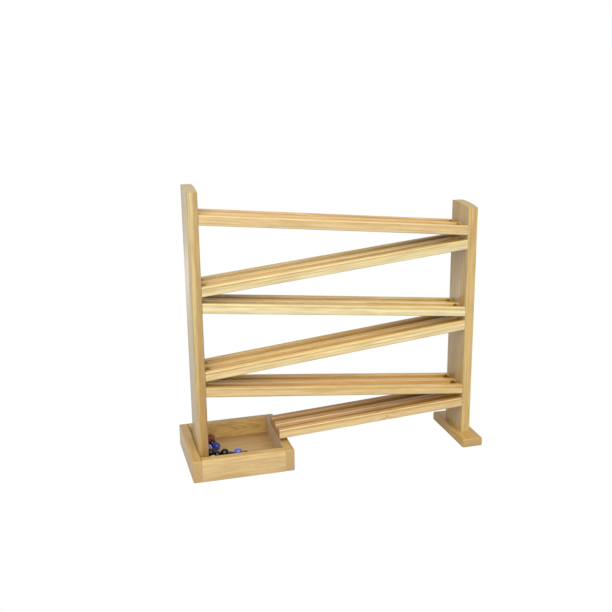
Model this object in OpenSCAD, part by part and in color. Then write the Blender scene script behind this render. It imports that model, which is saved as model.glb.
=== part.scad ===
// Wooden zigzag marble run: six grooved rails between two uprights, above a catch tray.
// Dimensions are in millimetres. X runs along the rails, Y from front to back, Z up.

/* [Uprights and rails] */
// clear distance between the two uprights
span = 497; // [420:1:620]
// width of the uprights and rails, front to back
board_w = 75.5; // [72:0.5:100]
// thickness of the uprights
upright_t = 18; // [15:0.5:24]
// thickness of the rails
rail_t = 17.5; // [15:0.5:22]
// height lost along each of the five full rails
rail_fall = 50; // [30:1:75]
// air over a marble as it rolls in under the rail above, at the right upright
pass_right = 1; // [0.5:0.5:15]
// the same air at the left upright
pass_left = 4; // [0.5:0.5:15]
// height lost along the short sixth rail
last_fall = 21.5; // [10:0.5:40]
// left upright's crown above the start of the top rail
left_above = 44; // [20:1:70]
// right upright's crown above the end of the top rail
right_above = 37.5; // [20:0.5:70]
// how far the arched top of an upright falls at its front edge
crown_fall = 4.8; // [2:0.2:10]

/* [Marbles and grooves] */
// diameter of a marble
marble_d = 16; // [12:0.5:19.5]
// extra width of a groove over the marble
groove_play = 3; // [1:0.5:5]
// depth of a groove
groove_depth = 8; // [5:0.5:9]
// width of the flat rib between the two grooves
rib_w = 13.5; // [10:0.5:16]
// extra width of the drop holes over the marble
drop_play = 2; // [1:0.5:3]
// how far a drop hole runs past the end of its rail
drop_break = 1.5; // [0.5:0.5:3]

/* [Catch tray] */
// outside length of the tray
tray_l = 187; // [160:1:260]
// outside depth of the tray, front to back
tray_w = 176.5; // [172:0.5:240]
// height of the tray walls
tray_h = 42; // [35:1:60]
// thickness of the tray walls
tray_t = 17; // [14:0.5:22]
// how far the tray and foot stand out in front of the uprights
front_reach = 35; // [25:1:60]
// thickness of the plywood floor
floor_t = 9; // [6:0.5:14]
// height of the floor's underside above the table
floor_lift = 2; // [1:0.5:6]
// space between the tray wall and the sixth rail above it
last_lift = 7.5; // [2:0.5:20]
// how far the sixth rail hangs past the tray wall's inner face
last_overhang = 2.5; // [0:0.5:15]

/* [Foot] */
// length of the foot, left to right
foot_l = 41; // [32:1:80]
// how far the foot stands out behind the uprights
foot_back = 36; // [20:1:70]
// thickness of the foot
foot_t = 17; // [14:0.5:24]

/* [Hidden] */
$fn = 72;

ease = 1.5;          // radius worn and sanded onto the long edges
dowel_d = 6;
dowel_play = 0.1;    // glue space round a dowel
dowel_end = 0.5;     // space left at the blind end of a bore
dowel_in_rail = 20;
dowel_in_upright = 10;
tray_pin_edge = 8;   // centre of a tray dowel to the floor and to the top of the wall
panel_tongue = 4;    // depth of the slot that holds the tray floor
panel_play = 0.5;
rest_gap = 0.3;      // air between a resting marble and the floor
cut = 1;             // how far a cutting shape runs past a face

screw_d = 4;
screw_head_d = 8.5;
screw_head_h = 3;
screw_l = 45;
screw_sink = 0.5;    // how far the screw heads sit inside the foot
screw_gap = 38;

full_rails = 5;
step_right = rail_t + marble_d - groove_depth + pass_right;
step_left = rail_t + marble_d - groove_depth + pass_left;
turn = 2 * rail_fall + step_right + step_left;
drop_d = marble_d + drop_play;
drop_inset = drop_d / 2 - drop_break;
foot_w = front_reach + board_w + foot_back;
right_x = upright_t + span;
end_x = right_x + upright_t / 2 + foot_l / 2;
mid_x = (end_x - tray_t) / 2;
mid_y = tray_w / 2 - front_reach;

tray_back = tray_w - front_reach;
tray_right = tray_l - tray_t;
floor_top = floor_lift + floor_t;
tray_inner_back = tray_back - tray_t;
panel_slot = panel_tongue + panel_play;

groove_r = (marble_d + groove_play) / 2;
groove_pitch = 2 * groove_r + rib_w;
rib_mid = (board_w / 2 - groove_pitch / 2 - groove_r) / 2;
last_x = tray_right - tray_t - last_overhang;
last_slope = last_fall / (right_x - last_x);
last_low = tray_h + last_lift + rail_t;
last_high = last_low + last_fall;
peg_x = tray_right - tray_t / 2;
peg_in_wall = 15;
peg_in_rail = 9;

// top of a full rail where it meets each upright, rails counted from the top
function right_top(n) = n % 2 == 1
    ? last_high + step_right + (full_rails - n) / 2 * turn
    : left_top(n) + rail_fall;
function left_top(n) = n % 2 == 1
    ? right_top(n) + rail_fall
    : left_top(n + 1) + step_left;

left_crown = left_top(1) + left_above;
right_crown = right_top(1) + right_above;

// the arch is struck from a point two thirds of the way back
crown_y = board_w * 2 / 3;
crown_r = (pow(crown_y, 2) + pow(crown_fall, 2)) / (2 * crown_fall);

light_wood = [0.86, 0.72, 0.48];
ply = [0.70, 0.56, 0.36];
pale_wood = [0.90, 0.80, 0.60];
steel = [0.75, 0.76, 0.78];

// puts the middle of the footprint at the origin
module placed() {
    translate([-mid_x, -mid_y, 0]) children();
}

// rectangle with eased corners, its lower left corner at the origin
module eased(w, h) {
    translate([ease, 0]) square([w - 2 * ease, h]);
    translate([0, ease]) square([w, h - 2 * ease]);
    for (x = [ease, w - ease], y = [ease, h - ease])
        translate([x, y]) circle(r = ease);
}

// board with its grain and eased edges along Z
module standing_board(x, y, z) {
    linear_extrude(height = z) eased(x, y);
}

// board with its grain and eased edges along X
module long_board(x, y, z) {
    rotate([90, 0, 90]) linear_extrude(height = x) eased(y, z);
}

// board with its grain and eased edges along Y
module deep_board(x, y, z) {
    translate([0, y, 0]) rotate([90, 0, 0]) linear_extrude(height = y) eased(x, z);
}

// ---- joinery, drawn once for the dowels and once, a little wider, for their bores ----

module pin_x(l, d) {
    rotate([0, 90, 0]) cylinder(h = l, d = d);
}

// the two dowels that join a rail end to an upright's inner face; side is -1 left, 1 right
module rail_pins(x, z, side, d, more) {
    in_rail = dowel_in_rail + more;
    in_upright = dowel_in_upright + more;
    start = side < 0 ? x - in_upright : x - in_rail;
    for (y = [rib_mid, board_w - rib_mid])
        translate([start, y, z]) pin_x(in_rail + in_upright, d);
}

module left_pins(n, d, more) {
    rail_pins(upright_t, left_top(n) - rail_t / 2, -1, d, more);
}

module right_pins(n, d, more) {
    z = n > full_rails ? last_high : right_top(n);
    rail_pins(right_x, z - rail_t / 2, 1, d, more);
}

module left_bores(n) {
    left_pins(n, dowel_d + 2 * dowel_play, dowel_end);
}

module right_bores(n) {
    right_pins(n, dowel_d + 2 * dowel_play, dowel_end);
}

// the four dowels at one end of the tray, or the two that hold the left upright
module tray_pins(x, l, ys, d) {
    for (y = ys, z = [floor_top + tray_pin_edge, tray_h - tray_pin_edge])
        translate([x, y, z]) pin_x(l, d);
}

wall_mids = [tray_t / 2 - front_reach, tray_back - tray_t / 2];
upright_mids = [board_w * 0.25, board_w * 0.75];

module corner_pins(d, more) {
    l = tray_t * 1.5 + 2 * more;
    tray_pins(-tray_t * 0.75 - more, l, wall_mids, d);
    tray_pins(tray_right - tray_t * 1.75 - more, l, wall_mids, d);
}

module upright_pins(d, more) {
    tray_pins(-tray_t * 0.7 - more, tray_t * 0.7 + upright_t * 0.7 + 2 * more, upright_mids, d);
}

module last_peg(d, more) {
    translate([peg_x, board_w / 2, tray_h - peg_in_wall - more])
        cylinder(h = peg_in_wall + last_lift + peg_in_rail + 2 * more, d = d);
}

// a countersunk screw driven up through the foot
module foot_screw(play) {
    translate([0, 0, screw_sink]) {
        cylinder(h = screw_head_h, d1 = screw_head_d + play, d2 = screw_d + play);
        cylinder(h = screw_l + play, d = screw_d + play);
    }
}

module foot_screw_pair(play) {
    for (side = [-1, 1])
        translate([right_x + upright_t / 2, (board_w + side * screw_gap) / 2, 0])
            foot_screw(play);
}

// ---- uprights ----

// everything under an arched crown, as wide as an upright
module under_crown(top) {
    translate([-cut, crown_y, top - crown_r])
        rotate([0, 90, 0]) cylinder(h = upright_t + 2 * cut, r = crown_r, $fn = 360);
}

module upright_blank(base, top) {
    intersection() {
        translate([0, 0, base]) standing_board(upright_t, board_w, top - base);
        union() {
            under_crown(top);
            translate([-cut, -cut, 0]) cube([upright_t + 2 * cut, board_w + 2 * cut, top - crown_r / 4]);
        }
    }
}

module left_upright() color(light_wood) placed() difference() {
    upright_blank(floor_top, left_crown);
    for (n = [1 : full_rails]) left_bores(n);
    upright_pins(dowel_d + 2 * dowel_play, dowel_end);
}

module right_upright() color(light_wood) placed() difference() {
    translate([right_x, 0, 0]) upright_blank(foot_t, right_crown);
    for (n = [1 : full_rails + 1]) right_bores(n);
    foot_screw_pair(2 * dowel_play);
}

// ---- rails ----

// end view of a rail: front to back across, thickness up, two round-bottomed grooves on top
module rail_outline() {
    difference() {
        eased(board_w, rail_t);
        for (side = [-1, 1])
            translate([board_w / 2 + side * groove_pitch / 2, rail_t - groove_depth + groove_r])
                circle(r = groove_r);
    }
}

// a grooved bar whose top passes through height z at x, going downhill to the right by slope
module rail_bar(x, z, slope) {
    over = 2 * rail_t;
    translate([x, 0, z])
        rotate([0, atan(slope), 0])
            translate([-over, 0, -rail_t])
                rotate([90, 0, 90]) linear_extrude(height = span + 2 * over) rail_outline();
}

// the two holes at the low end, where marbles drop to the rail below
module drop_holes(x, z) {
    for (side = [-1, 1])
        translate([x, board_w / 2 + side * groove_pitch / 2, z - 2 * rail_t])
            cylinder(h = 3 * rail_t, d = drop_d);
}

module full_rail(n) {
    slope = (left_top(n) - right_top(n)) / span;
    low_x = n % 2 == 1 ? right_x - drop_inset : upright_t + drop_inset;
    low_z = min(left_top(n), right_top(n));
    color(light_wood) placed() difference() {
        intersection() {
            rail_bar(upright_t, left_top(n), slope);
            translate([upright_t, -cut, low_z - 2 * rail_t])
                cube([span, board_w + 2 * cut, rail_fall + 4 * rail_t]);
        }
        drop_holes(low_x, low_z);
        left_bores(n);
        right_bores(n);
    }
}

module rail_1() full_rail(1);
module rail_2() full_rail(2);
module rail_3() full_rail(3);
module rail_4() full_rail(4);
module rail_5() full_rail(5);

module rail_6() color(light_wood) placed() difference() {
    intersection() {
        rail_bar(last_x, last_low, -last_slope);
        translate([last_x, -cut, last_low - 2 * rail_t])
            cube([right_x - last_x, board_w + 2 * cut, last_fall + 4 * rail_t]);
    }
    right_bores(full_rails + 1);
    last_peg(dowel_d + 2 * dowel_play, dowel_end);
}

// ---- foot under the right upright ----

module foot() color(light_wood) placed() difference() {
    translate([end_x - foot_l, -front_reach, 0]) deep_board(foot_l, foot_w, foot_t);
    foot_screw_pair(2 * dowel_play);
    for (side = [-1, 1])
        translate([right_x + upright_t / 2, (board_w + side * screw_gap) / 2, -cut])
            cylinder(h = screw_sink + cut, d = screw_head_d + 2 * dowel_play);
}

// ---- catch tray ----

// the slot round the inside of the walls that holds the floor
module floor_slot() {
    translate([-panel_slot, tray_t - front_reach - panel_slot, floor_lift])
        cube([tray_right - tray_t + 2 * panel_slot, tray_w - 2 * tray_t + 2 * panel_slot, floor_t]);
}

module tray_end(x) {
    difference() {
        translate([x, -front_reach, 0]) deep_board(tray_t, tray_w, tray_h);
        floor_slot();
        corner_pins(dowel_d + 2 * dowel_play, dowel_end);
    }
}

module tray_side(y) {
    difference() {
        translate([0, y, 0]) long_board(tray_right - tray_t, tray_t, tray_h);
        floor_slot();
        corner_pins(dowel_d + 2 * dowel_play, dowel_end);
    }
}

module tray_left_wall() color(light_wood) placed() difference() {
    tray_end(-tray_t);
    upright_pins(dowel_d + 2 * dowel_play, dowel_end);
}

module tray_right_wall() color(light_wood) placed() difference() {
    tray_end(tray_right - tray_t);
    last_peg(dowel_d + 2 * dowel_play, dowel_end);
}

module tray_front_wall() color(light_wood) placed() tray_side(-front_reach);

module tray_back_wall() color(light_wood) placed() tray_side(tray_inner_back);

module tray_floor() color(ply) placed()
    translate([-panel_tongue, tray_t - front_reach - panel_tongue, floor_lift])
        cube([tray_right - tray_t + 2 * panel_tongue, tray_w - 2 * tray_t + 2 * panel_tongue, floor_t]);

// ---- hidden dowels, peg and screws ----

module left_rail_dowels() color(pale_wood) placed()
    for (n = [1 : full_rails]) left_pins(n, dowel_d, 0);

module right_rail_dowels() color(pale_wood) placed()
    for (n = [1 : full_rails + 1]) right_pins(n, dowel_d, 0);

module last_rail_peg() color(pale_wood) placed() last_peg(dowel_d, 0);

module tray_corner_dowels() color(pale_wood) placed() corner_pins(dowel_d, 0);

module upright_dowels() color(pale_wood) placed() upright_pins(dowel_d, 0);

module foot_screws() color(steel) placed() foot_screw_pair(0);

// ---- marbles lying in the tray, placed in marble diameters from the left upright's inner face
// ---- and from the back wall's inner face

module marble(right, forward, tint) {
    x = upright_t + right * marble_d;
    y = tray_inner_back - forward * marble_d;
    color(tint) placed()
        translate([x, y, floor_top + rest_gap + marble_d / 2]) sphere(d = marble_d);
}

module marble_red() marble(1.344, 1, [0.50, 0.13, 0.08, 0.9]);
module marble_black_back() marble(1.2, 2.431, [0.05, 0.05, 0.05, 0.95]);
module marble_deep_blue() marble(1.525, 3.462, [0.08, 0.08, 0.45, 0.9]);
module marble_pale_blue() marble(0.525, 3.744, [0.55, 0.62, 0.85, 0.9]);
module marble_black_side() marble(0.6, 4.987, [0.06, 0.05, 0.05, 0.95]);
module marble_black_near() marble(1.206, 5.825, [0.07, 0.06, 0.04, 0.95]);
module marble_white() marble(0.563, 6.856, [0.72, 0.74, 0.80, 0.9]);
module marble_black_middle() marble(2.188, 5.518, [0.04, 0.05, 0.04, 0.95]);
module marble_black_front() marble(2.744, 6.525, [0.06, 0.05, 0.05, 0.95]);
module marble_blue() marble(3.706, 5.731, [0.20, 0.22, 0.62, 0.9]);
module marble_amber() marble(4.388, 6.656, [0.45, 0.28, 0.10, 0.9]);

left_upright();
right_upright();
rail_1();
rail_2();
rail_3();
rail_4();
rail_5();
rail_6();
foot();
tray_left_wall();
tray_right_wall();
tray_front_wall();
tray_back_wall();
tray_floor();
left_rail_dowels();
right_rail_dowels();
last_rail_peg();
tray_corner_dowels();
upright_dowels();
foot_screws();
marble_red();
marble_black_back();
marble_deep_blue();
marble_pale_blue();
marble_black_side();
marble_black_near();
marble_white();
marble_black_middle();
marble_black_front();
marble_blue();
marble_amber();
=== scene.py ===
# %% [markdown]
# # A wooden marble run
# This notebook dresses a toy whose measured parts come from a fixed frame: six grooved rails in a
# zigzag between two uprights, a catch tray, a foot and eleven glass marbles. The frame gives every
# board's place, so a piece made here goes exactly where the part's own box says.

import math

import bpy
from mathutils import Euler, Matrix, Vector


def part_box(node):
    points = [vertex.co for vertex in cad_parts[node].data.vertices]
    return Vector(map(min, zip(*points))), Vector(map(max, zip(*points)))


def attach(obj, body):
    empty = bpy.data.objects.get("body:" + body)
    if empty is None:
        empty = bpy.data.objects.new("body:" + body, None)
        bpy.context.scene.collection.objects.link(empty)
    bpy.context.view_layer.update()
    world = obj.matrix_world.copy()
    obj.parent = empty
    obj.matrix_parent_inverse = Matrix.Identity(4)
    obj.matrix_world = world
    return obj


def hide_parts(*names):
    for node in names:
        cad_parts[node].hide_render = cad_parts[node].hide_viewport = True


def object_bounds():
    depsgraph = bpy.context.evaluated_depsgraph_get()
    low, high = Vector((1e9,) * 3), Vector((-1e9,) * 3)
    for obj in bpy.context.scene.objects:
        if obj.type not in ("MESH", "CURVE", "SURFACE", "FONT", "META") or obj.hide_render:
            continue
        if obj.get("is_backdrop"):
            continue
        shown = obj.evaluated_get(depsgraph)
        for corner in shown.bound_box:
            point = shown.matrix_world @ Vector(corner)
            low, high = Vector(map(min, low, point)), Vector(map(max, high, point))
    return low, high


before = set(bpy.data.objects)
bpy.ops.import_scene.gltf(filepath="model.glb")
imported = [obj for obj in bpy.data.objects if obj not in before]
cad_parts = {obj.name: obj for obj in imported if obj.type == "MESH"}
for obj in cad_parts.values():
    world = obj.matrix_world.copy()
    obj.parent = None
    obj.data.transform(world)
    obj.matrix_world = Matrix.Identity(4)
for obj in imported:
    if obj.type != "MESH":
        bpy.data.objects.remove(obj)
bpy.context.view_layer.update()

# %% [markdown]
# ## Small hand tools
# Every operator in Blender acts on what is selected, so each step starts by clearing the selection
# and picking one piece. These helpers do that, and nothing more clever.

# %% Helpers for picking pieces
def only(piece):
    if bpy.context.mode != "OBJECT":
        bpy.ops.object.mode_set(mode="OBJECT")
    bpy.ops.object.select_all(action="DESELECT")
    if piece is not None:
        bpy.context.view_layer.objects.active = piece
        piece.select_set(True)


def fix_place(piece):
    only(piece)
    bpy.ops.object.transform_apply(location=True, rotation=True, scale=True)


def corners(node):
    low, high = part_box(node)
    return Vector(low), Vector(high)


def scene_box():
    low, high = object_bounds()
    return [list(map(float, low)), list(map(float, high))]


# %% [markdown]
# ## Cutting and easing
# A joiner shapes a board in three moves: saw it to a block, cut away what is not wanted, and ease
# the sharp edges with a plane and sandpaper. In Blender those are a cube primitive, a Boolean
# modifier with a cutting shape, and the bevel tool on edges chosen by where they lie.

# %% Block, cut and ease
def block(name, low, high):
    only(None)
    size = high - low
    bpy.ops.mesh.primitive_cube_add(size=1, location=(low + high) / 2)
    piece = bpy.context.object
    piece.scale = size
    piece.name = piece.data.name = name
    fix_place(piece)
    return piece


def rod(centre, axis, radius, long, sides):
    only(None)
    turn = Vector((0, 0, 1)).rotation_difference(Vector(axis)).to_euler()
    bpy.ops.mesh.primitive_cylinder_add(vertices=sides, radius=radius, depth=long,
                                        location=centre, rotation=turn)
    tool = bpy.context.object
    fix_place(tool)
    return tool


def cut(piece, tool, how="DIFFERENCE"):
    only(piece)
    step = piece.modifiers.new("cut", "BOOLEAN")
    step.operation, step.solver, step.object = how, "EXACT", tool
    bpy.ops.object.modifier_apply(modifier=step.name)
    bpy.data.objects.remove(tool)


def ease(piece, chosen, radius, steps=3):
    only(piece)
    points = piece.data.vertices
    bpy.ops.object.mode_set(mode="EDIT")
    bpy.ops.mesh.select_all(action="DESELECT")
    bpy.ops.mesh.select_mode(type="EDGE")
    bpy.ops.object.mode_set(mode="OBJECT")
    for edge in piece.data.edges:
        a, b = (points[i].co for i in edge.vertices)
        edge.select = bool(chosen(a, b))
    bpy.ops.object.mode_set(mode="EDIT")
    bpy.ops.mesh.bevel(offset=radius, offset_type="OFFSET", segments=steps, affect="EDGES",
                       clamp_overlap=True, profile=0.5)
    bpy.ops.object.mode_set(mode="OBJECT")


print("cutting tools:", block.__name__, rod.__name__, cut.__name__, ease.__name__)

# %% Finishing a mesh
SMOOTH_BELOW = math.radians(35)
SAME_PLACE = 2e-5
DOUBLE = 1e-6


def smooth(piece):
    only(piece)
    bpy.ops.object.shade_smooth_by_angle(angle=SMOOTH_BELOW)


def tidy_mesh(piece):
    only(piece)
    bpy.ops.object.mode_set(mode="EDIT")
    bpy.ops.mesh.select_all(action="SELECT")
    bpy.ops.mesh.remove_doubles(threshold=DOUBLE)
    bpy.ops.mesh.normals_make_consistent(inside=False)
    bpy.ops.object.mode_set(mode="OBJECT")


def same(a, b):
    return abs(a - b) < SAME_PLACE


print("edges bent by less than", round(math.degrees(SMOOTH_BELOW)), "degrees look smooth")

# %% [markdown]
# ## Camera
# The toy is seen from the front, a little from the left and from above, at the height of someone
# sitting at the table. A lens near 54 mm keeps the tall left upright leaning gently outwards.

# %% Camera
CAMERA_PLACE = (-0.47426, -1.5882, 0.76495)
CAMERA_TURN = (math.radians(73.756), math.radians(0.691), math.radians(-15.317))
LENS = 54.461

only(None)
bpy.ops.object.camera_add(location=CAMERA_PLACE, rotation=CAMERA_TURN)
camera = bpy.context.object
camera.name = "camera"
camera.data.lens = LENS
camera.data.dof.use_dof = False
camera.data.clip_start, camera.data.clip_end = 0.05, 50
bpy.context.scene.camera = camera
print("camera lens", camera.data.lens)

# %% [markdown]
# ## Floor and light
# The toy stands on a plain pale floor under one large soft light, high in front, with pale room
# light all round. A sun lamp with a very wide disc lights the fronts and tops evenly from end to
# end. The picture is to look like a cut-out on white, so the camera doesn't see the floor. It is
# left out of the diffuse bounce too, so the end faces keep their shade, and shows only in gloss.
# The surroundings look white to the camera while they light the toy less than that.

# %% Floor
FLOOR_SIZE = 60
FLOOR_BELOW = 0.0005
FLOOR_PALE = (0.80, 0.80, 0.80, 1)

only(None)
bpy.ops.mesh.primitive_plane_add(size=FLOOR_SIZE, location=(0, 0, -FLOOR_BELOW))
floor = bpy.context.object
floor.name = "floor"
floor.visible_diffuse = False
floor.visible_camera = False
floor_paint = bpy.data.materials.new("pale_floor")
floor_paint.use_nodes = True
paint = floor_paint.node_tree.nodes["Principled BSDF"]
paint.inputs["Base Color"].default_value = FLOOR_PALE
paint.inputs["Roughness"].default_value = 0.9
paint.inputs["Specular IOR Level"].default_value = 0.1
floor.data.materials.append(floor_paint)
floor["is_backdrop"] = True
print("floor:", FLOOR_SIZE, "m across, seen by the camera:", floor.visible_camera)

# %% Key light
KEY_HEIGHT, KEY_SIDE = math.radians(41), math.radians(-10)
KEY_AWAY = 3
KEY_POWER = 3.0
KEY_SOFTNESS = math.radians(64)
key_from = Vector((math.sin(KEY_SIDE) * math.cos(KEY_HEIGHT),
                   -math.cos(KEY_SIDE) * math.cos(KEY_HEIGHT),
                   math.sin(KEY_HEIGHT)))
only(None)
bpy.ops.object.light_add(type="SUN", location=key_from * KEY_AWAY)
key = bpy.context.object
key.name = "key_light"
key.data.energy = KEY_POWER
key.data.angle = KEY_SOFTNESS
key.rotation_euler = (-key_from).to_track_quat("-Z", "Y").to_euler()
print("key light", round(math.degrees(KEY_HEIGHT)), "degrees up")

# %% Strip of light on the floor
# It lies behind the toy and shows as a soft grey sheen on the right upright's inner face.
STRIP_PLACE = (-0.42, 1.6, 0.002)
STRIP_TURN = math.radians(24)
STRIP_WIDE, STRIP_LONG = 0.3, 1.9
STRIP_POWER = 2.0

only(None)
bpy.ops.object.light_add(type="AREA", location=STRIP_PLACE, rotation=(math.pi, 0, STRIP_TURN))
strip = bpy.context.object
strip.name = "floor_strip"
strip.data.shape = "RECTANGLE"
strip.data.size, strip.data.size_y = STRIP_WIDE, STRIP_LONG
strip.data.energy = STRIP_POWER
strip.visible_camera = False
print("strip of light:", STRIP_WIDE, "by", STRIP_LONG, "m")

# %% Room light
ROOM_LIGHT = 0.62
world = bpy.data.worlds.new("studio")
bpy.context.scene.world = world
world.use_nodes = True
sky = world.node_tree
ray = sky.nodes.new("ShaderNodeLightPath")
level = sky.nodes.new("ShaderNodeMapRange")
level.inputs["To Min"].default_value = ROOM_LIGHT
level.inputs["To Max"].default_value = 1.0
sky.links.new(ray.outputs["Is Camera Ray"], level.inputs["Value"])
sky.links.new(level.outputs["Result"], sky.nodes["Background"].inputs["Strength"])
sky.nodes["Background"].inputs["Color"].default_value = (1, 1, 1, 1)
bpy.context.scene.view_settings.view_transform = "Standard"
print("room light", ROOM_LIGHT)

# %% [markdown]
# ## Wood
# A board is a slice of a tree, so its figure is a slice through growth rings: long lines on a face,
# tight arcs on the end grain. One solid pattern does both. The point is first turned so that its
# third axis runs along the board, then its distance from the heart of the tree gives the rings.
# Finer noise, stretched along the grain, adds fibres and the short dark flecks of the pores.

# %% Node helpers
def add(tree, kind, settings=None, **inputs):
    """A node with its sockets set or linked; _0 and _1 name sockets by number."""
    made = tree.nodes.new(kind)
    for key, value in (settings or {}).items():
        setattr(made, key, value)
    for key, value in inputs.items():
        socket = made.inputs[int(key[1:]) if key[1:].isdigit() else key.replace("_", " ")]
        if isinstance(value, bpy.types.NodeSocket):
            tree.links.new(value, socket)
        else:
            socket.default_value = value
    return made


def ramp(tree, source, stops):
    made = add(tree, "ShaderNodeValToRGB", Fac=source)
    band = made.color_ramp
    while len(band.elements) < len(stops):
        band.elements.new(0.5)
    for stop, (place, value) in zip(band.elements, stops):
        stop.position = place
        stop.color = (value, value, value, 1) if isinstance(value, (int, float)) else (*value, 1)
    return made.outputs["Color"]


def mixed(tree, factor, first, second, how="MIX"):
    made = tree.nodes.new("ShaderNodeMix")
    made.data_type, made.blend_type = "RGBA", how
    for index, value in ((0, factor), (6, first), (7, second)):
        if isinstance(value, bpy.types.NodeSocket):
            tree.links.new(value, made.inputs[index])
        elif index == 0:
            made.inputs[0].default_value = value
        else:
            made.inputs[index].default_value = (*value, 1)
    return made.outputs[2]


print("node helpers:", add.__name__, ramp.__name__, mixed.__name__)

# %% Small sums on nodes
def vectors(tree, how, *values):
    inputs = {"_" + str(index): value for index, value in enumerate(values)}
    return add(tree, "ShaderNodeVectorMath", {"operation": how}, **inputs).outputs


def dot(tree, vector, direction):
    return vectors(tree, "DOT_PRODUCT", vector, direction)["Value"]


def length(tree, vector):
    return vectors(tree, "LENGTH", vector)["Value"]


def span(tree, value, low, high):
    """0 at low, 1 at high, held at both ends; low may be the larger of the two."""
    return add(tree, "ShaderNodeMapRange", {"interpolation_type": "SMOOTHSTEP"}, Value=value,
               From_Min=low, From_Max=high).outputs["Result"]


def times(tree, first, second, how="MULTIPLY"):
    return add(tree, "ShaderNodeMath", {"operation": how}, _0=first, _1=second).outputs[0]


def mapped(tree, vector, **change):
    return add(tree, "ShaderNodeMapping", Vector=vector, **change).outputs[0]


def noise(tree, vector, scale, detail, **more):
    return add(tree, "ShaderNodeTexNoise", Vector=vector, Scale=scale, Detail=detail, **more)


def noise_over(tree, value, detail, **more):
    return add(tree, "ShaderNodeTexNoise", {"noise_dimensions": "1D"}, W=value, Detail=detail,
               **more).outputs["Fac"]


def scaled(tint, r, g, b):
    return (tint[0] * r, tint[1] * g, tint[2] * b)


print("a tint of 0.5 at half strength:", scaled((0.5, 0.5, 0.5), 0.5, 0.5, 0.5))

# %% [markdown]
# ### Growth rings
# In a real board each year leaves a pale band and then a thin dark one. Here the distance from the
# heart is bent a little by slow noise, divided by one year's growth, and its fraction runs from
# spring to autumn. A pin knot pushes the rings apart round it. An image could show all this too,
# but it would not turn the corner onto the end grain as the solid pattern does.

# %% Growth rings
RING_STRETCH = 0.07
KNOT_SWELL = 0.006
KNOT_REACH = 0.016


def from_knot(tree, spot, knot):
    off = vectors(tree, "SUBTRACT", spot, knot)[0]
    return length(tree, vectors(tree, "MULTIPLY", off, (0.4, 1, 1))[0])


def years_grown(tree, drawn, ring, waver, reach):
    wander = noise(tree, drawn, 24, 3, Roughness=0.5).outputs["Color"]
    bent = vectors(tree, "MULTIPLY_ADD", wander, (2 * waver, 2 * waver, 0), drawn)[0]
    radius = length(tree, vectors(tree, "MULTIPLY", bent, (1, 1, 0))[0])
    if reach:
        swell = times(tree, span(tree, reach, KNOT_REACH, 0.0), KNOT_SWELL)
        radius = times(tree, radius, swell, "ADD")
    return times(tree, radius, 1 / ring)


def late_wood(tree, growth):
    uneven = noise_over(tree, times(tree, growth, 0.37), 2)
    shifted = times(tree, growth, times(tree, uneven, 3.0), "ADD")
    year = times(tree, shifted, 1.0, "MODULO")
    return ramp(tree, year, [(0.0, 0.25), (0.06, 0.0), (0.5, 0.1), (0.86, 1.0), (1.0, 0.25)])


print("rings are drawn out", round(1 / RING_STRETCH), "times along the board")

# %% [markdown]
# ### Grain and colour
# Between the rings the wood is never one colour. Broad clouds and streaks shift it from pale to
# warm, short strokes and long fibres darken it in lines, and pores leave flecks. All of them are
# noise squeezed along the board, from the broadest to the finest.

# %% Grain
def grain_noises(tree, along, drawn, growth):
    fine = mapped(tree, along, Scale=(1, 1, 0.02))
    short = mapped(tree, along, Scale=(1, 1, 0.1))
    return {
        "streak": noise_over(tree, times(tree, growth, 0.8), 3, Roughness=0.6),
        "cloud": noise(tree, drawn, 9, 3).outputs["Fac"],
        "fibre": noise(tree, fine, 700, 4, Roughness=0.65).outputs["Fac"],
        "figure": noise(tree, short, 170, 2, Roughness=0.6).outputs["Fac"],
        "fleck": noise(tree, short, 620, 1).outputs["Fac"],
    }


def shades(tone):
    """the pale, warm and dark wood of one board"""
    return (scaled(tone, 1.10, 1.14, 1.22), scaled(tone, 0.90, 0.84, 0.74),
            scaled(tone, 0.66, 0.54, 0.38))


def long_grain(tree, tone, late, grain, contrast, busy):
    pale, warm, dark = shades(tone)
    patch = times(tree, times(tree, grain["cloud"], grain["streak"], "ADD"), 0.5)
    colour = mixed(tree, span(tree, patch, 0.38, 0.62), pale, warm)
    colour = mixed(tree, times(tree, late, contrast), colour, dark)
    strokes = ramp(tree, grain["figure"], [(0.32, (0.74, 0.66, 0.54)), (0.60, 1.0)])
    colour = mixed(tree, 0.6 * busy, colour, strokes, "MULTIPLY")
    fibres = ramp(tree, grain["fibre"], [(0.30, 0.62), (0.60, 1.0)])
    colour = mixed(tree, 0.5 * busy, colour, fibres, "MULTIPLY")
    pores = times(tree, span(tree, grain["fleck"], 0.60, 0.72), 0.25)
    return mixed(tree, pores, colour, dark)


print("pale, warm and dark of a mid tone:", [round(shade[0], 3) for shade in shades((0.5,) * 3)])

# %% [markdown]
# ### Faces that differ
# Some faces of a board are lighter or darker than the rest: a paler strip along an edge, which on
# the rails' fronts is a painted sheen; a painted sheen on some inner faces; painted light on the
# faces that point up; painted shade in the groove floors and on the walls of the drilled holes; and
# the end grain, darkened further on the rails' ends as painted shade. Each is found by where it
# lies or which way it faces, so nothing has to be painted by hand.

# %% Zones, grooves and holes
ZONE_WOBBLE = 0.006
GROOVE_SHADE_FROM = 0.0012
GROOVE_SHADE_FULL = 0.0022


def tint_zones(tree, colour, spot, cloud, zones):
    for direction, start, soft, tint in zones:
        edge = times(tree, dot(tree, spot, direction), times(tree, cloud, ZONE_WOBBLE), "ADD")
        middle = start + ZONE_WOBBLE / 2
        inside = span(tree, edge, middle - soft, middle + soft)
        colour = mixed(tree, inside, colour, tint, "MULTIPLY")
    return colour


# painted light: faces that point up, the rib tops most, are lightened and yellowed; then painted
# shade darkens the groove floors
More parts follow.
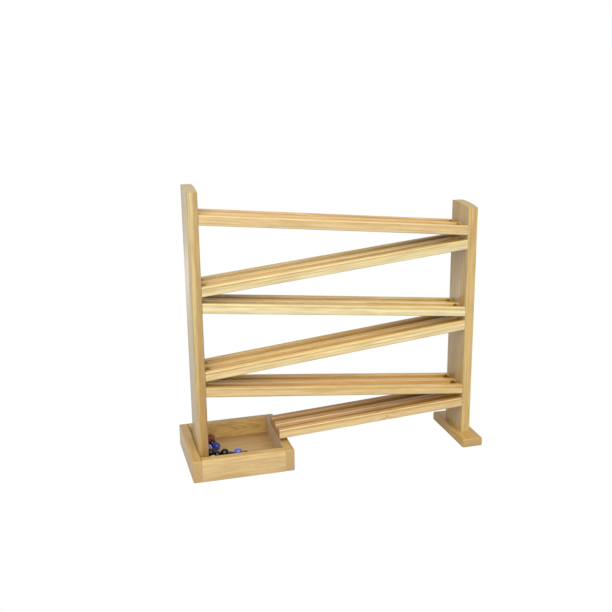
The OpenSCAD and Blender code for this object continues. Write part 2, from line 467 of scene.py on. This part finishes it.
def tint_grooves(tree, colour, spot, facing, upward, top, painted_top_light, painted_groove_shade):
    level = span(tree, dot(tree, facing, upward), 0.80, 0.96)
    colour = mixed(tree, level, colour, painted_top_light, "MULTIPLY")
    # painted shade: the groove floors below the rib tops are darkened
    deep = span(tree, dot(tree, spot, upward), top - GROOVE_SHADE_FROM, top - GROOVE_SHADE_FULL)
    open_up = span(tree, dot(tree, facing, upward), 0.02, 0.12)
    return mixed(tree, times(tree, deep, open_up), colour, painted_groove_shade, "MULTIPLY")


# painted shade: the walls of the drop holes are darkened, standing in for the shadow inside them
def tint_holes(tree, colour, spot, hole_x, middle_y, apart, size, shade):
    axes = add(tree, "ShaderNodeSeparateXYZ", Vector=spot).outputs
    from_middle = times(tree, times(tree, axes["Y"], middle_y, "SUBTRACT"), 0.0, "ABSOLUTE")
    sideways = times(tree, from_middle, apart, "SUBTRACT")
    lengthways = times(tree, axes["X"], hole_x, "SUBTRACT")
    flat_spot = add(tree, "ShaderNodeCombineXYZ", X=lengthways, Y=sideways).outputs[0]
    wall = span(tree, length(tree, flat_spot), size + 0.0008, size + 0.0001)
    return mixed(tree, wall, colour, shade, "MULTIPLY")


print("groove shade begins", GROOVE_SHADE_FROM * 1000, "mm down")

# %% End grain and varnish
def end_grain(tree, colour, facing, turn, tone, ends, late, fleck, contrast):
    end = scaled(tone, *ends)
    lengthwise = Vector((0, 0, 1))
    lengthwise.rotate(Euler(turn).to_matrix().inverted())
    across = times(tree, dot(tree, facing, tuple(lengthwise)), 0.0, "ABSOLUTE")
    ringed = mixed(tree, times(tree, late, contrast), end, scaled(end, 0.72, 0.64, 0.52))
    pored = mixed(tree, times(tree, span(tree, fleck, 0.52, 0.66), 0.35), ringed,
                  shades(tone)[2])
    return mixed(tree, span(tree, across, 0.60, 0.92), colour, pored)


def varnish(tree, shader, grain, late, gloss):
    worn = ramp(tree, grain["cloud"], [(0.3, gloss - 0.06), (0.7, gloss + 0.06)])
    tree.links.new(worn, shader.inputs["Roughness"])
    shader.inputs["Specular IOR Level"].default_value = 0.38
    shader.inputs["Coat Weight"].default_value = 0.2
    shader.inputs["Coat Roughness"].default_value = 0.22
    height = mixed(tree, 0.35, grain["fibre"], late)
    relief = add(tree, "ShaderNodeBump", Height=height, Strength=0.2, Distance=0.0003)
    tree.links.new(relief.outputs["Normal"], shader.inputs["Normal"])


print("end grain and varnish ready")

# %% Wood finish
def wood(name, turn, heart, tone, ring=0.0042, waver=0.004, contrast=0.55, gloss=0.36,
         busy=1.0, lean=0.0, ends=(0.80, 0.79, 1.02), zones=(), grooved=None, holes=None,
         knot=None):
    """turn puts the board's length on the pattern's third axis; heart is where the rings centre.
    lean tips the board against the rings, which turns straight lines into cathedral arches.

    Each zone is a direction, the distance along it where it starts, how soft the change is and
    its tint. grooved is the rail's upward direction, the height of its top along it, and the
    painted light for the faces that point up and the painted shade for the groove floors. holes is
    the x, the middle y, half the spacing and the radius of a pair of drop holes, then the painted
    shade for their walls. knot is the middle of a pin knot.
    """
    made = bpy.data.materials.new(name)
    made.use_nodes = True
    tree = made.node_tree
    shader = tree.nodes["Principled BSDF"]
    place = add(tree, "ShaderNodeTexCoord").outputs
    spot, facing = place["Object"], place["Normal"]
    along = mapped(tree, spot, Rotation=turn, Location=heart)
    if lean:
        along = mapped(tree, along, Rotation=(lean, 0, 0))
    drawn = mapped(tree, along, Scale=(1, 1, RING_STRETCH))
    reach = from_knot(tree, spot, knot) if knot else None
    growth = years_grown(tree, drawn, ring, waver, reach)
    late = late_wood(tree, growth)
    grain = grain_noises(tree, along, drawn, growth)

    colour = long_grain(tree, tone, late, grain, contrast, busy)
    colour = tint_zones(tree, colour, spot, grain["cloud"], zones)
    if grooved:
        colour = tint_grooves(tree, colour, spot, facing, *grooved)
    if holes:
        colour = tint_holes(tree, colour, spot, *holes)
    if knot:
        heartwood = scaled(tone, 0.58, 0.40, 0.26)
        colour = mixed(tree, span(tree, reach, 0.0016, 0.0007), colour, heartwood)
    colour = end_grain(tree, colour, facing, turn, tone, ends, late, grain["fleck"], contrast)
    tree.links.new(colour, shader.inputs["Base Color"])
    varnish(tree, shader, grain, late, gloss)
    return made


RIGHT_ANGLE = math.pi / 2
ALONG_X = (0, -RIGHT_ANGLE, 0)
ALONG_Y = (RIGHT_ANGLE, 0, 0)
STRAW, HONEY, TAN = (0.76, 0.66, 0.38), (0.69, 0.52, 0.26), (0.55, 0.37, 0.125)
print("wood tones:", STRAW, HONEY, TAN)

# %% [markdown]
# ## Uprights
# The two uprights are plain boards whose tops are sawn to a shallow arch and rounded over. The arch
# is a slice of a very large cylinder, so the board is intersected with one. The long edges are then
# rounded with a small radius, as a router would, and the crown's edges a little less.

# %% Uprights
CROWN_R = 0.2663
CROWN_SIDES = 512
CROWN_DEPTH = 0.012
UPRIGHT_EASE = 0.0028
CROWN_EASE = 0.0012
CROWN_END = (0.90, 0.90, 0.95)
SPARE = 0.03
INSIDE = 1e-4


def upright(node, turn, heart, tone, **finish):
    low, high = corners(node)
    piece = block(node + "_board", low, high)
    centre = Vector(((low.x + high.x) / 2, low.y + (high.y - low.y) * 2 / 3, high.z - CROWN_R))
    arch = rod(centre, (1, 0, 0), CROWN_R, 0.1, CROWN_SIDES)
    lower = block("lower", Vector((low.x - SPARE, low.y - SPARE, low.z - SPARE)),
                  Vector((high.x + SPARE, high.y + SPARE, high.z - 0.02)))
    cut(arch, lower, "UNION")
    cut(piece, arch, "INTERSECT")
    tidy_mesh(piece)
    crown_low = high.z - CROWN_DEPTH

    def long_edge(a, b):
        return same(a.x, b.x) and same(a.y, b.y) and abs(a.z - b.z) > 0.1

    def crown_edge(a, b):
        in_width = all(low.x + INSIDE < point.x < high.x - INSIDE for point in (a, b))
        in_depth = low.y + INSIDE < a.y < high.y - INSIDE
        return min(a.z, b.z) > crown_low and not (in_width and in_depth)

    ease(piece, long_edge, UPRIGHT_EASE)
    ease(piece, crown_edge, CROWN_EASE, 2)
    smooth(piece)
    piece.data.materials.clear()
    piece.data.materials.append(wood(node + "_wood", turn, heart, tone, **finish))
    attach(piece, "frame")
    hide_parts(node)
    print(node, "faces:", len(piece.data.polygons))


# the left upright is paler along its outer front edge, and its foot end is the darkest
left_low, left_high = corners("left_upright")
off_edge = (math.cos(0.011), 0, -math.sin(0.011))
edge_start = Vector(off_edge).dot((left_low.x + 0.0035, 0, left_low.z))
upright("left_upright", (0.012, -0.006, 0), (0.335, 0.06, 0.1), (0.56, 0.43, 0.185),
        ends=CROWN_END, zones=[(off_edge, edge_start, 0.0022, (0.86, 0.76, 0.70)),
                               ((0, 0, -1), -0.20, 0.16, (0.86, 0.78, 0.66))])
right_low = corners("right_upright")[0]
# its inner face is tinted paler and bluer: a painted sheen of reflected light on that face
upright("right_upright", (0.008, 0.01, 0), (-0.20, 0.075, 0.4), (0.535, 0.37, 0.14),
        ends=CROWN_END, zones=[((-1, 0, 0), -right_low.x - 0.0008, 0.0004, (1.03, 1.12, 1.35))])

# %% [markdown]
# ## Rails
# Each rail is one bar with two round-bottomed grooves ploughed along its top. All six rails are
# cut from the same bar: it is modelled once, level and overlong, then each copy is tilted and sawn
# off where it ends. The five full rails are drilled with the two holes that let the marbles fall.

# %% The grooved bar
RAIL_T = 0.0175
GROOVE_R = 0.0095
GROOVE_DEPTH = 0.008
GROOVE_PITCH = 0.0325
GROOVE_SIDES = 44
DROP_R = 0.009
DROP_INSET = 0.0075
DROP_SIDES = 64
BAR_EASE, RIB_EASE, SAWN_EASE = 0.0024, 0.0012, 0.0008
NEAR_FACE = 0.004

rail_low, rail_high = corners("rail_1")
rail_mid = (rail_low.y + rail_high.y) / 2
bar = block("bar", Vector((rail_low.x - SPARE, rail_low.y, -RAIL_T)),
            Vector((rail_high.x + SPARE, rail_high.y, 0)))
for side in (-1, 1):
    groove = rod((0, rail_mid + side * GROOVE_PITCH / 2, GROOVE_R - GROOVE_DEPTH), (1, 0, 0),
                 GROOVE_R, 0.7, GROOVE_SIDES)
    cut(bar, groove)
tidy_mesh(bar)


def lies_along(a, b):
    return same(a.y, b.y) and same(a.z, b.z)


def outer_edge(a, b):
    return lies_along(a, b) and (same(a.y, rail_low.y) or same(a.y, rail_high.y))


def rib_edge(a, b):
    clear = all(abs(a.y - face) > NEAR_FACE for face in (rail_low.y, rail_high.y))
    return lies_along(a, b) and same(a.z, 0) and clear


ease(bar, outer_edge, BAR_EASE, 4)
ease(bar, rib_edge, RIB_EASE, 3)
print("bar faces:", len(bar.data.polygons))

# %% Saw and drill
def saw_off(piece, x, out):
    only(piece)
    bpy.ops.object.mode_set(mode="EDIT")
    bpy.ops.mesh.select_all(action="SELECT")
    bpy.ops.mesh.bisect(plane_co=(x, 0, 0), plane_no=(out, 0, 0), use_fill=True,
                        clear_outer=True)
    bpy.ops.object.mode_set(mode="OBJECT")
    ease(piece, lambda a, b: same(a.x, x) and same(b.x, x), SAWN_EASE, 2)


def drill_pair(piece, hole_x, low_z):
    for side in (-1, 1):
        drill = rod((hole_x, rail_mid + side * GROOVE_PITCH / 2, low_z), (0, 0, 1), DROP_R,
                    0.12, DROP_SIDES)
        cut(piece, drill)


print("drop holes:", DROP_R * 2000, "mm across")

# %% Make a rail from the bar
# painted light on the rails' upward faces, then painted shade in the groove floors
TOP_PAINTED_LIGHT, GROOVE_PAINTED_SHADE = (1.16, 1.17, 0.90), (0.76, 0.62, 0.36)
# painted sheen: the bar behind its front strip takes this darker, warmer tint, so the front face
# and edge look paler
PAINTED_FRONT_SHEEN_TINT = (0.93, 0.82, 0.66)
# painted shade on the drop holes' walls, deeper in the holes at the rails' right ends
HOLE_SHADE_RIGHT, HOLE_SHADE_LEFT = (0.46, 0.32, 0.17), (0.80, 0.66, 0.46)
# end grain, darkened well beyond its own tone as painted shade on the rails' end faces
RAIL_END_GRAIN_AND_SHADE = (0.55, 0.45, 0.45)


def rail(node, uphill_left, fall, low_end_joined, heart, tone, painted_top_light=TOP_PAINTED_LIGHT, painted_groove_shade=GROOVE_PAINTED_SHADE,
         painted_sheen_strip=0.0035, **finish):
    low, high = corners(node)
    run = high.x - low.x
    angle = math.atan(fall / run) * (1 if uphill_left else -1)
    piece = bar.copy()
    piece.data = bar.data.copy()
    bpy.context.collection.objects.link(piece)
    piece.name = piece.data.name = node + "_bar"
    top = high.z - fall / 2
    centre = Vector(((low.x + high.x) / 2, 0, top))
    piece.matrix_world = Matrix.Translation(centre) @ Matrix.Rotation(angle, 4, "Y")
    fix_place(piece)
    for x, out in ((low.x, -1), (high.x, 1)):
        saw_off(piece, x, out)
    if low_end_joined:
        hole_x = high.x - DROP_INSET if uphill_left else low.x + DROP_INSET
        drill_pair(piece, hole_x, low.z)
    tidy_mesh(piece)
    smooth(piece)
    turn = (0, -RIGHT_ANGLE - angle, 0)
    upward = Vector((math.sin(angle), 0, math.cos(angle)))
    piece.data.materials.clear()
    # the front few millimetres of each bar stay paler while the rest takes a darker tint: a painted
    # sheen on the front face and its edge
    behind = ((0, 1, 0), rail_low.y + painted_sheen_strip, 0.0015, PAINTED_FRONT_SHEEN_TINT)
    if low_end_joined:
        shade = HOLE_SHADE_RIGHT if uphill_left else HOLE_SHADE_LEFT
        finish["holes"] = (hole_x, rail_mid, GROOVE_PITCH / 2, DROP_R, shade)
    piece.data.materials.append(wood(node + "_wood", turn, heart, tone, zones=[behind],
                                     grooved=(tuple(upward), upward.dot(centre), painted_top_light, painted_groove_shade),
                                     ends=RAIL_END_GRAIN_AND_SHADE, **finish))
    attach(piece, "frame")
    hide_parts(node)
    print(node, "faces:", len(piece.data.polygons), "slope", round(math.degrees(angle), 2))


# %% The six rails
FULL_FALL, LAST_FALL = 0.050, 0.0215
MELLOW = (0.73, 0.59, 0.31)
rail("rail_1", True, FULL_FALL, True, (0.50, 0.05, 0.00), HONEY, painted_groove_shade=(0.88, 0.79, 0.60))
rail("rail_2", False, FULL_FALL, True, (0.31, -0.03, 0.11), STRAW)
rail("rail_3", True, FULL_FALL, True, (0.36, 0.06, 0.23), STRAW)
rail("rail_4", False, FULL_FALL, True, (0.14, 0.07, 0.37), MELLOW)
rail("rail_5", True, FULL_FALL, True, (0.20, -0.02, 0.51), (0.71, 0.55, 0.28), painted_sheen_strip=0.007)
# rail 6 sits close under rail 5, so its rib tops and grooves take darker painted shade
rail("rail_6", False, LAST_FALL, False, (0.12, 0.05, 0.63), HONEY, (0.90, 0.77, 0.52),
     (0.58, 0.45, 0.25), knot=(0.0972, -0.0532, 0.0699))
bpy.data.objects.remove(bar)

# %% [markdown]
# ## Foot and tray
# The foot and the four tray walls are straight boards, sawn to size and eased all round. The end
# walls run the full depth of the tray, and the front and back walls stand between them, so end
# grain shows on the front of each end wall. The floor is a thin panel let into a slot.

# %% Foot and tray boards
def board(node, turn, heart, tone, radius=0.0024, slot="varnished_wood", crisp=(), **finish):
    """crisp lists the x places of joints: upright edges there stay square, so the joint closes.
    A board held between two joints keeps its ends square all round."""
    low, high = corners(node)
    piece = block(node + "_board", low, high)

    def eased(a, b):
        if same(a.z, b.z):
            return not (len(crisp) > 1 and same(a.x, b.x))
        return not any(same(a.x, x) for x in crisp)

    ease(piece, eased, radius)
    smooth(piece)
    piece.data.materials.clear()
    piece.data.materials.append(wood(node + "_wood", turn, heart, tone, **finish))
    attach(piece, "frame")
    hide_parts(node)
    print(node, "size in mm:", [round(v * 1000, 1) for v in high - low])


# %% The six boards
board("foot", ALONG_Y, (-0.25, 0.04, 0.9), (0.52, 0.335, 0.10))
inner_left, inner_right = corners("tray_left_wall")[1].x, corners("tray_right_wall")[0].x
board("tray_left_wall", ALONG_Y, (0.30, 0.035, 1.1), TAN, crisp=[inner_left])
# the right wall's inner face is tinted much paler and bluer: a painted sheen of reflected light
inner_face_painted_sheen = ((-1, 0, 0), -inner_right - 0.0008, 0.0004, (1.2, 1.4, 2.8))
board("tray_right_wall", ALONG_Y, (0.08, 0.05, 1.3), TAN, crisp=[inner_right], zones=[inner_face_painted_sheen])
# the front wall's top face is tinted warmer than its front: a painted difference of light between
# top and front
board("tray_front_wall", ALONG_X, (0.05, 0.11, 1.5), (0.62, 0.455, 0.215), 0.0018, waver=0.008,
      crisp=[inner_left, inner_right],
      zones=[((0, 0, 1), corners("tray_front_wall")[1].z - 0.0015, 0.0008, (1.02, 0.92, 0.64))])
board("tray_back_wall", ALONG_X, (0.024, 0.0055, 1.7), (0.63, 0.42, 0.145), 0.0018, lean=0.07,
      crisp=[inner_left, inner_right], contrast=0.55)
PLY = (0.53, 0.35, 0.145)
board("tray_floor", ALONG_X, (0.9, 0.02, 2.1), PLY, 0.0005, "plywood", ring=0.009, contrast=0.15,
      busy=0.4)

# %% [markdown]
# ## Hidden joinery
# Dowels, a peg and two screws hold the toy together. They cannot be seen from outside, so their
# measured shapes are kept as they are and only get a finish: raw wood, and bright plated steel.

# %% Dowels and screws
raw = wood("raw_dowel_wood", ALONG_X, (0.1, 0.1, 0), (0.76, 0.60, 0.38), gloss=0.7)


def refinish(node, material):
    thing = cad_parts[node]
    thing.data.materials.clear()
    thing.data.materials.append(material)


for node in ("left_rail_dowels", "right_rail_dowels", "last_rail_peg", "tray_corner_dowels",
             "upright_dowels"):
    refinish(node, raw)

steel = bpy.data.materials.new("plated_steel")
steel.use_nodes = True
tree = steel.node_tree
metal = tree.nodes["Principled BSDF"]
metal.inputs["Metallic"].default_value = 1.0
metal.inputs["Base Color"].default_value = (0.72, 0.73, 0.76, 1)
spot = add(tree, "ShaderNodeTexCoord").outputs["Object"]
brushed = add(tree, "ShaderNodeTexNoise", Vector=spot, Scale=900, Detail=3).outputs["Fac"]
tree.links.new(ramp(tree, brushed, [(0.3, 0.22), (0.7, 0.42)]), metal.inputs["Roughness"])
refinish("foot_screws", steel)
print("joinery finished in", raw.name, "and", steel.name)

# %% [markdown]
# ## Glass marbles
# A marble is a gob of glass with a twist of colour folded into it. Each one here is a smooth ball,
# very slightly out of round as pressed glass is, with a swirl pattern that is wound round its own
# middle. The black ones let no light through, and the coloured ones a little.

# %% Marble glass
def marble_glass(name, centre, deep, streak, clear, shine, twist):
    made = bpy.data.materials.new(name)
    made.use_nodes = True
    tree = made.node_tree
    shader = tree.nodes["Principled BSDF"]
    place = add(tree, "ShaderNodeTexCoord").outputs["Object"]
    own = mapped(tree, place, Location=tuple(-c for c in centre))
    turned = mapped(tree, own, Rotation=twist, Scale=(90, 90, 45))
    bent = noise(tree, turned, 1.3, 2).outputs["Color"]
    swirl = vectors(tree, "MULTIPLY_ADD", bent, (1.6, 1.6, 1.6), turned)[0]
    vein = add(tree, "ShaderNodeTexWave", {"bands_direction": "DIAGONAL"}, Vector=swirl, Scale=0.35,
               Distortion=3.0, Detail=2).outputs["Fac"]
    tree.links.new(mixed(tree, ramp(tree, vein, [(0.55, 0.0), (0.85, 1.0)]), deep, streak),
                   shader.inputs["Base Color"])
    shader.inputs["Roughness"].default_value = 0.05
    shader.inputs["IOR"].default_value = shine
    shader.inputs["Transmission Weight"].default_value = clear
    return made


print("glass helper:", marble_glass.__name__)

# %% Marbles
GLASS = {
    "marble_red": ("glass_red", (0.20, 0.028, 0.02), (0.38, 0.09, 0.06), 0.15, 1.45),
    "marble_deep_blue": ("glass_deep_blue", (0.03, 0.04, 0.32), (0.10, 0.13, 0.56), 0.2, 1.5),
    "marble_pale_blue": ("glass_pale_blue", (0.14, 0.18, 0.58), (0.60, 0.66, 0.90), 0.2, 1.5),
    "marble_white": ("glass_white", (0.42, 0.45, 0.56), (0.85, 0.86, 0.88), 0.3, 1.5),
    "marble_blue": ("glass_blue", (0.12, 0.14, 0.46), (0.36, 0.40, 0.76), 0.2, 1.5),
    "marble_amber": ("glass_amber", (0.20, 0.09, 0.02), (0.42, 0.25, 0.08), 0.4, 1.5),
}
BLACK_GLASS = ("glass_black", (0.004, 0.0035, 0.003), (0.03, 0.022, 0.012), 0.0, 1.42)

OUT_OF_ROUND = 0.996
INSIDE_THE_FRAME = 0.998
marble_nodes = [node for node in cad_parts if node.startswith("marble_")]

for count, node in enumerate(marble_nodes):
    low, high = corners(node)
    centre, radius = (low + high) / 2, (high.z - low.z) / 2
    slot, *glass = GLASS.get(node, BLACK_GLASS)
    only(None)
    bpy.ops.mesh.primitive_ico_sphere_add(subdivisions=5, radius=radius * INSIDE_THE_FRAME,
                                          location=centre)
    ball = bpy.context.object
    ball.name = ball.data.name = node + "_glass"
    ball.scale = (1, 1, OUT_OF_ROUND)
    fix_place(ball)
    bpy.ops.object.shade_smooth()
    twist = (0.7 * count, 1.1 + 0.5 * count, 0.4)
    ball.data.materials.append(marble_glass(node + "_glass", centre, *glass, twist))
    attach(ball, node)
    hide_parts(node)
print("marbles made:", len(marble_nodes))

# %% [markdown]
# ## Size
# The last cell prints the finished toy's box.

# %% Finished size
print("finished size:", scene_box())
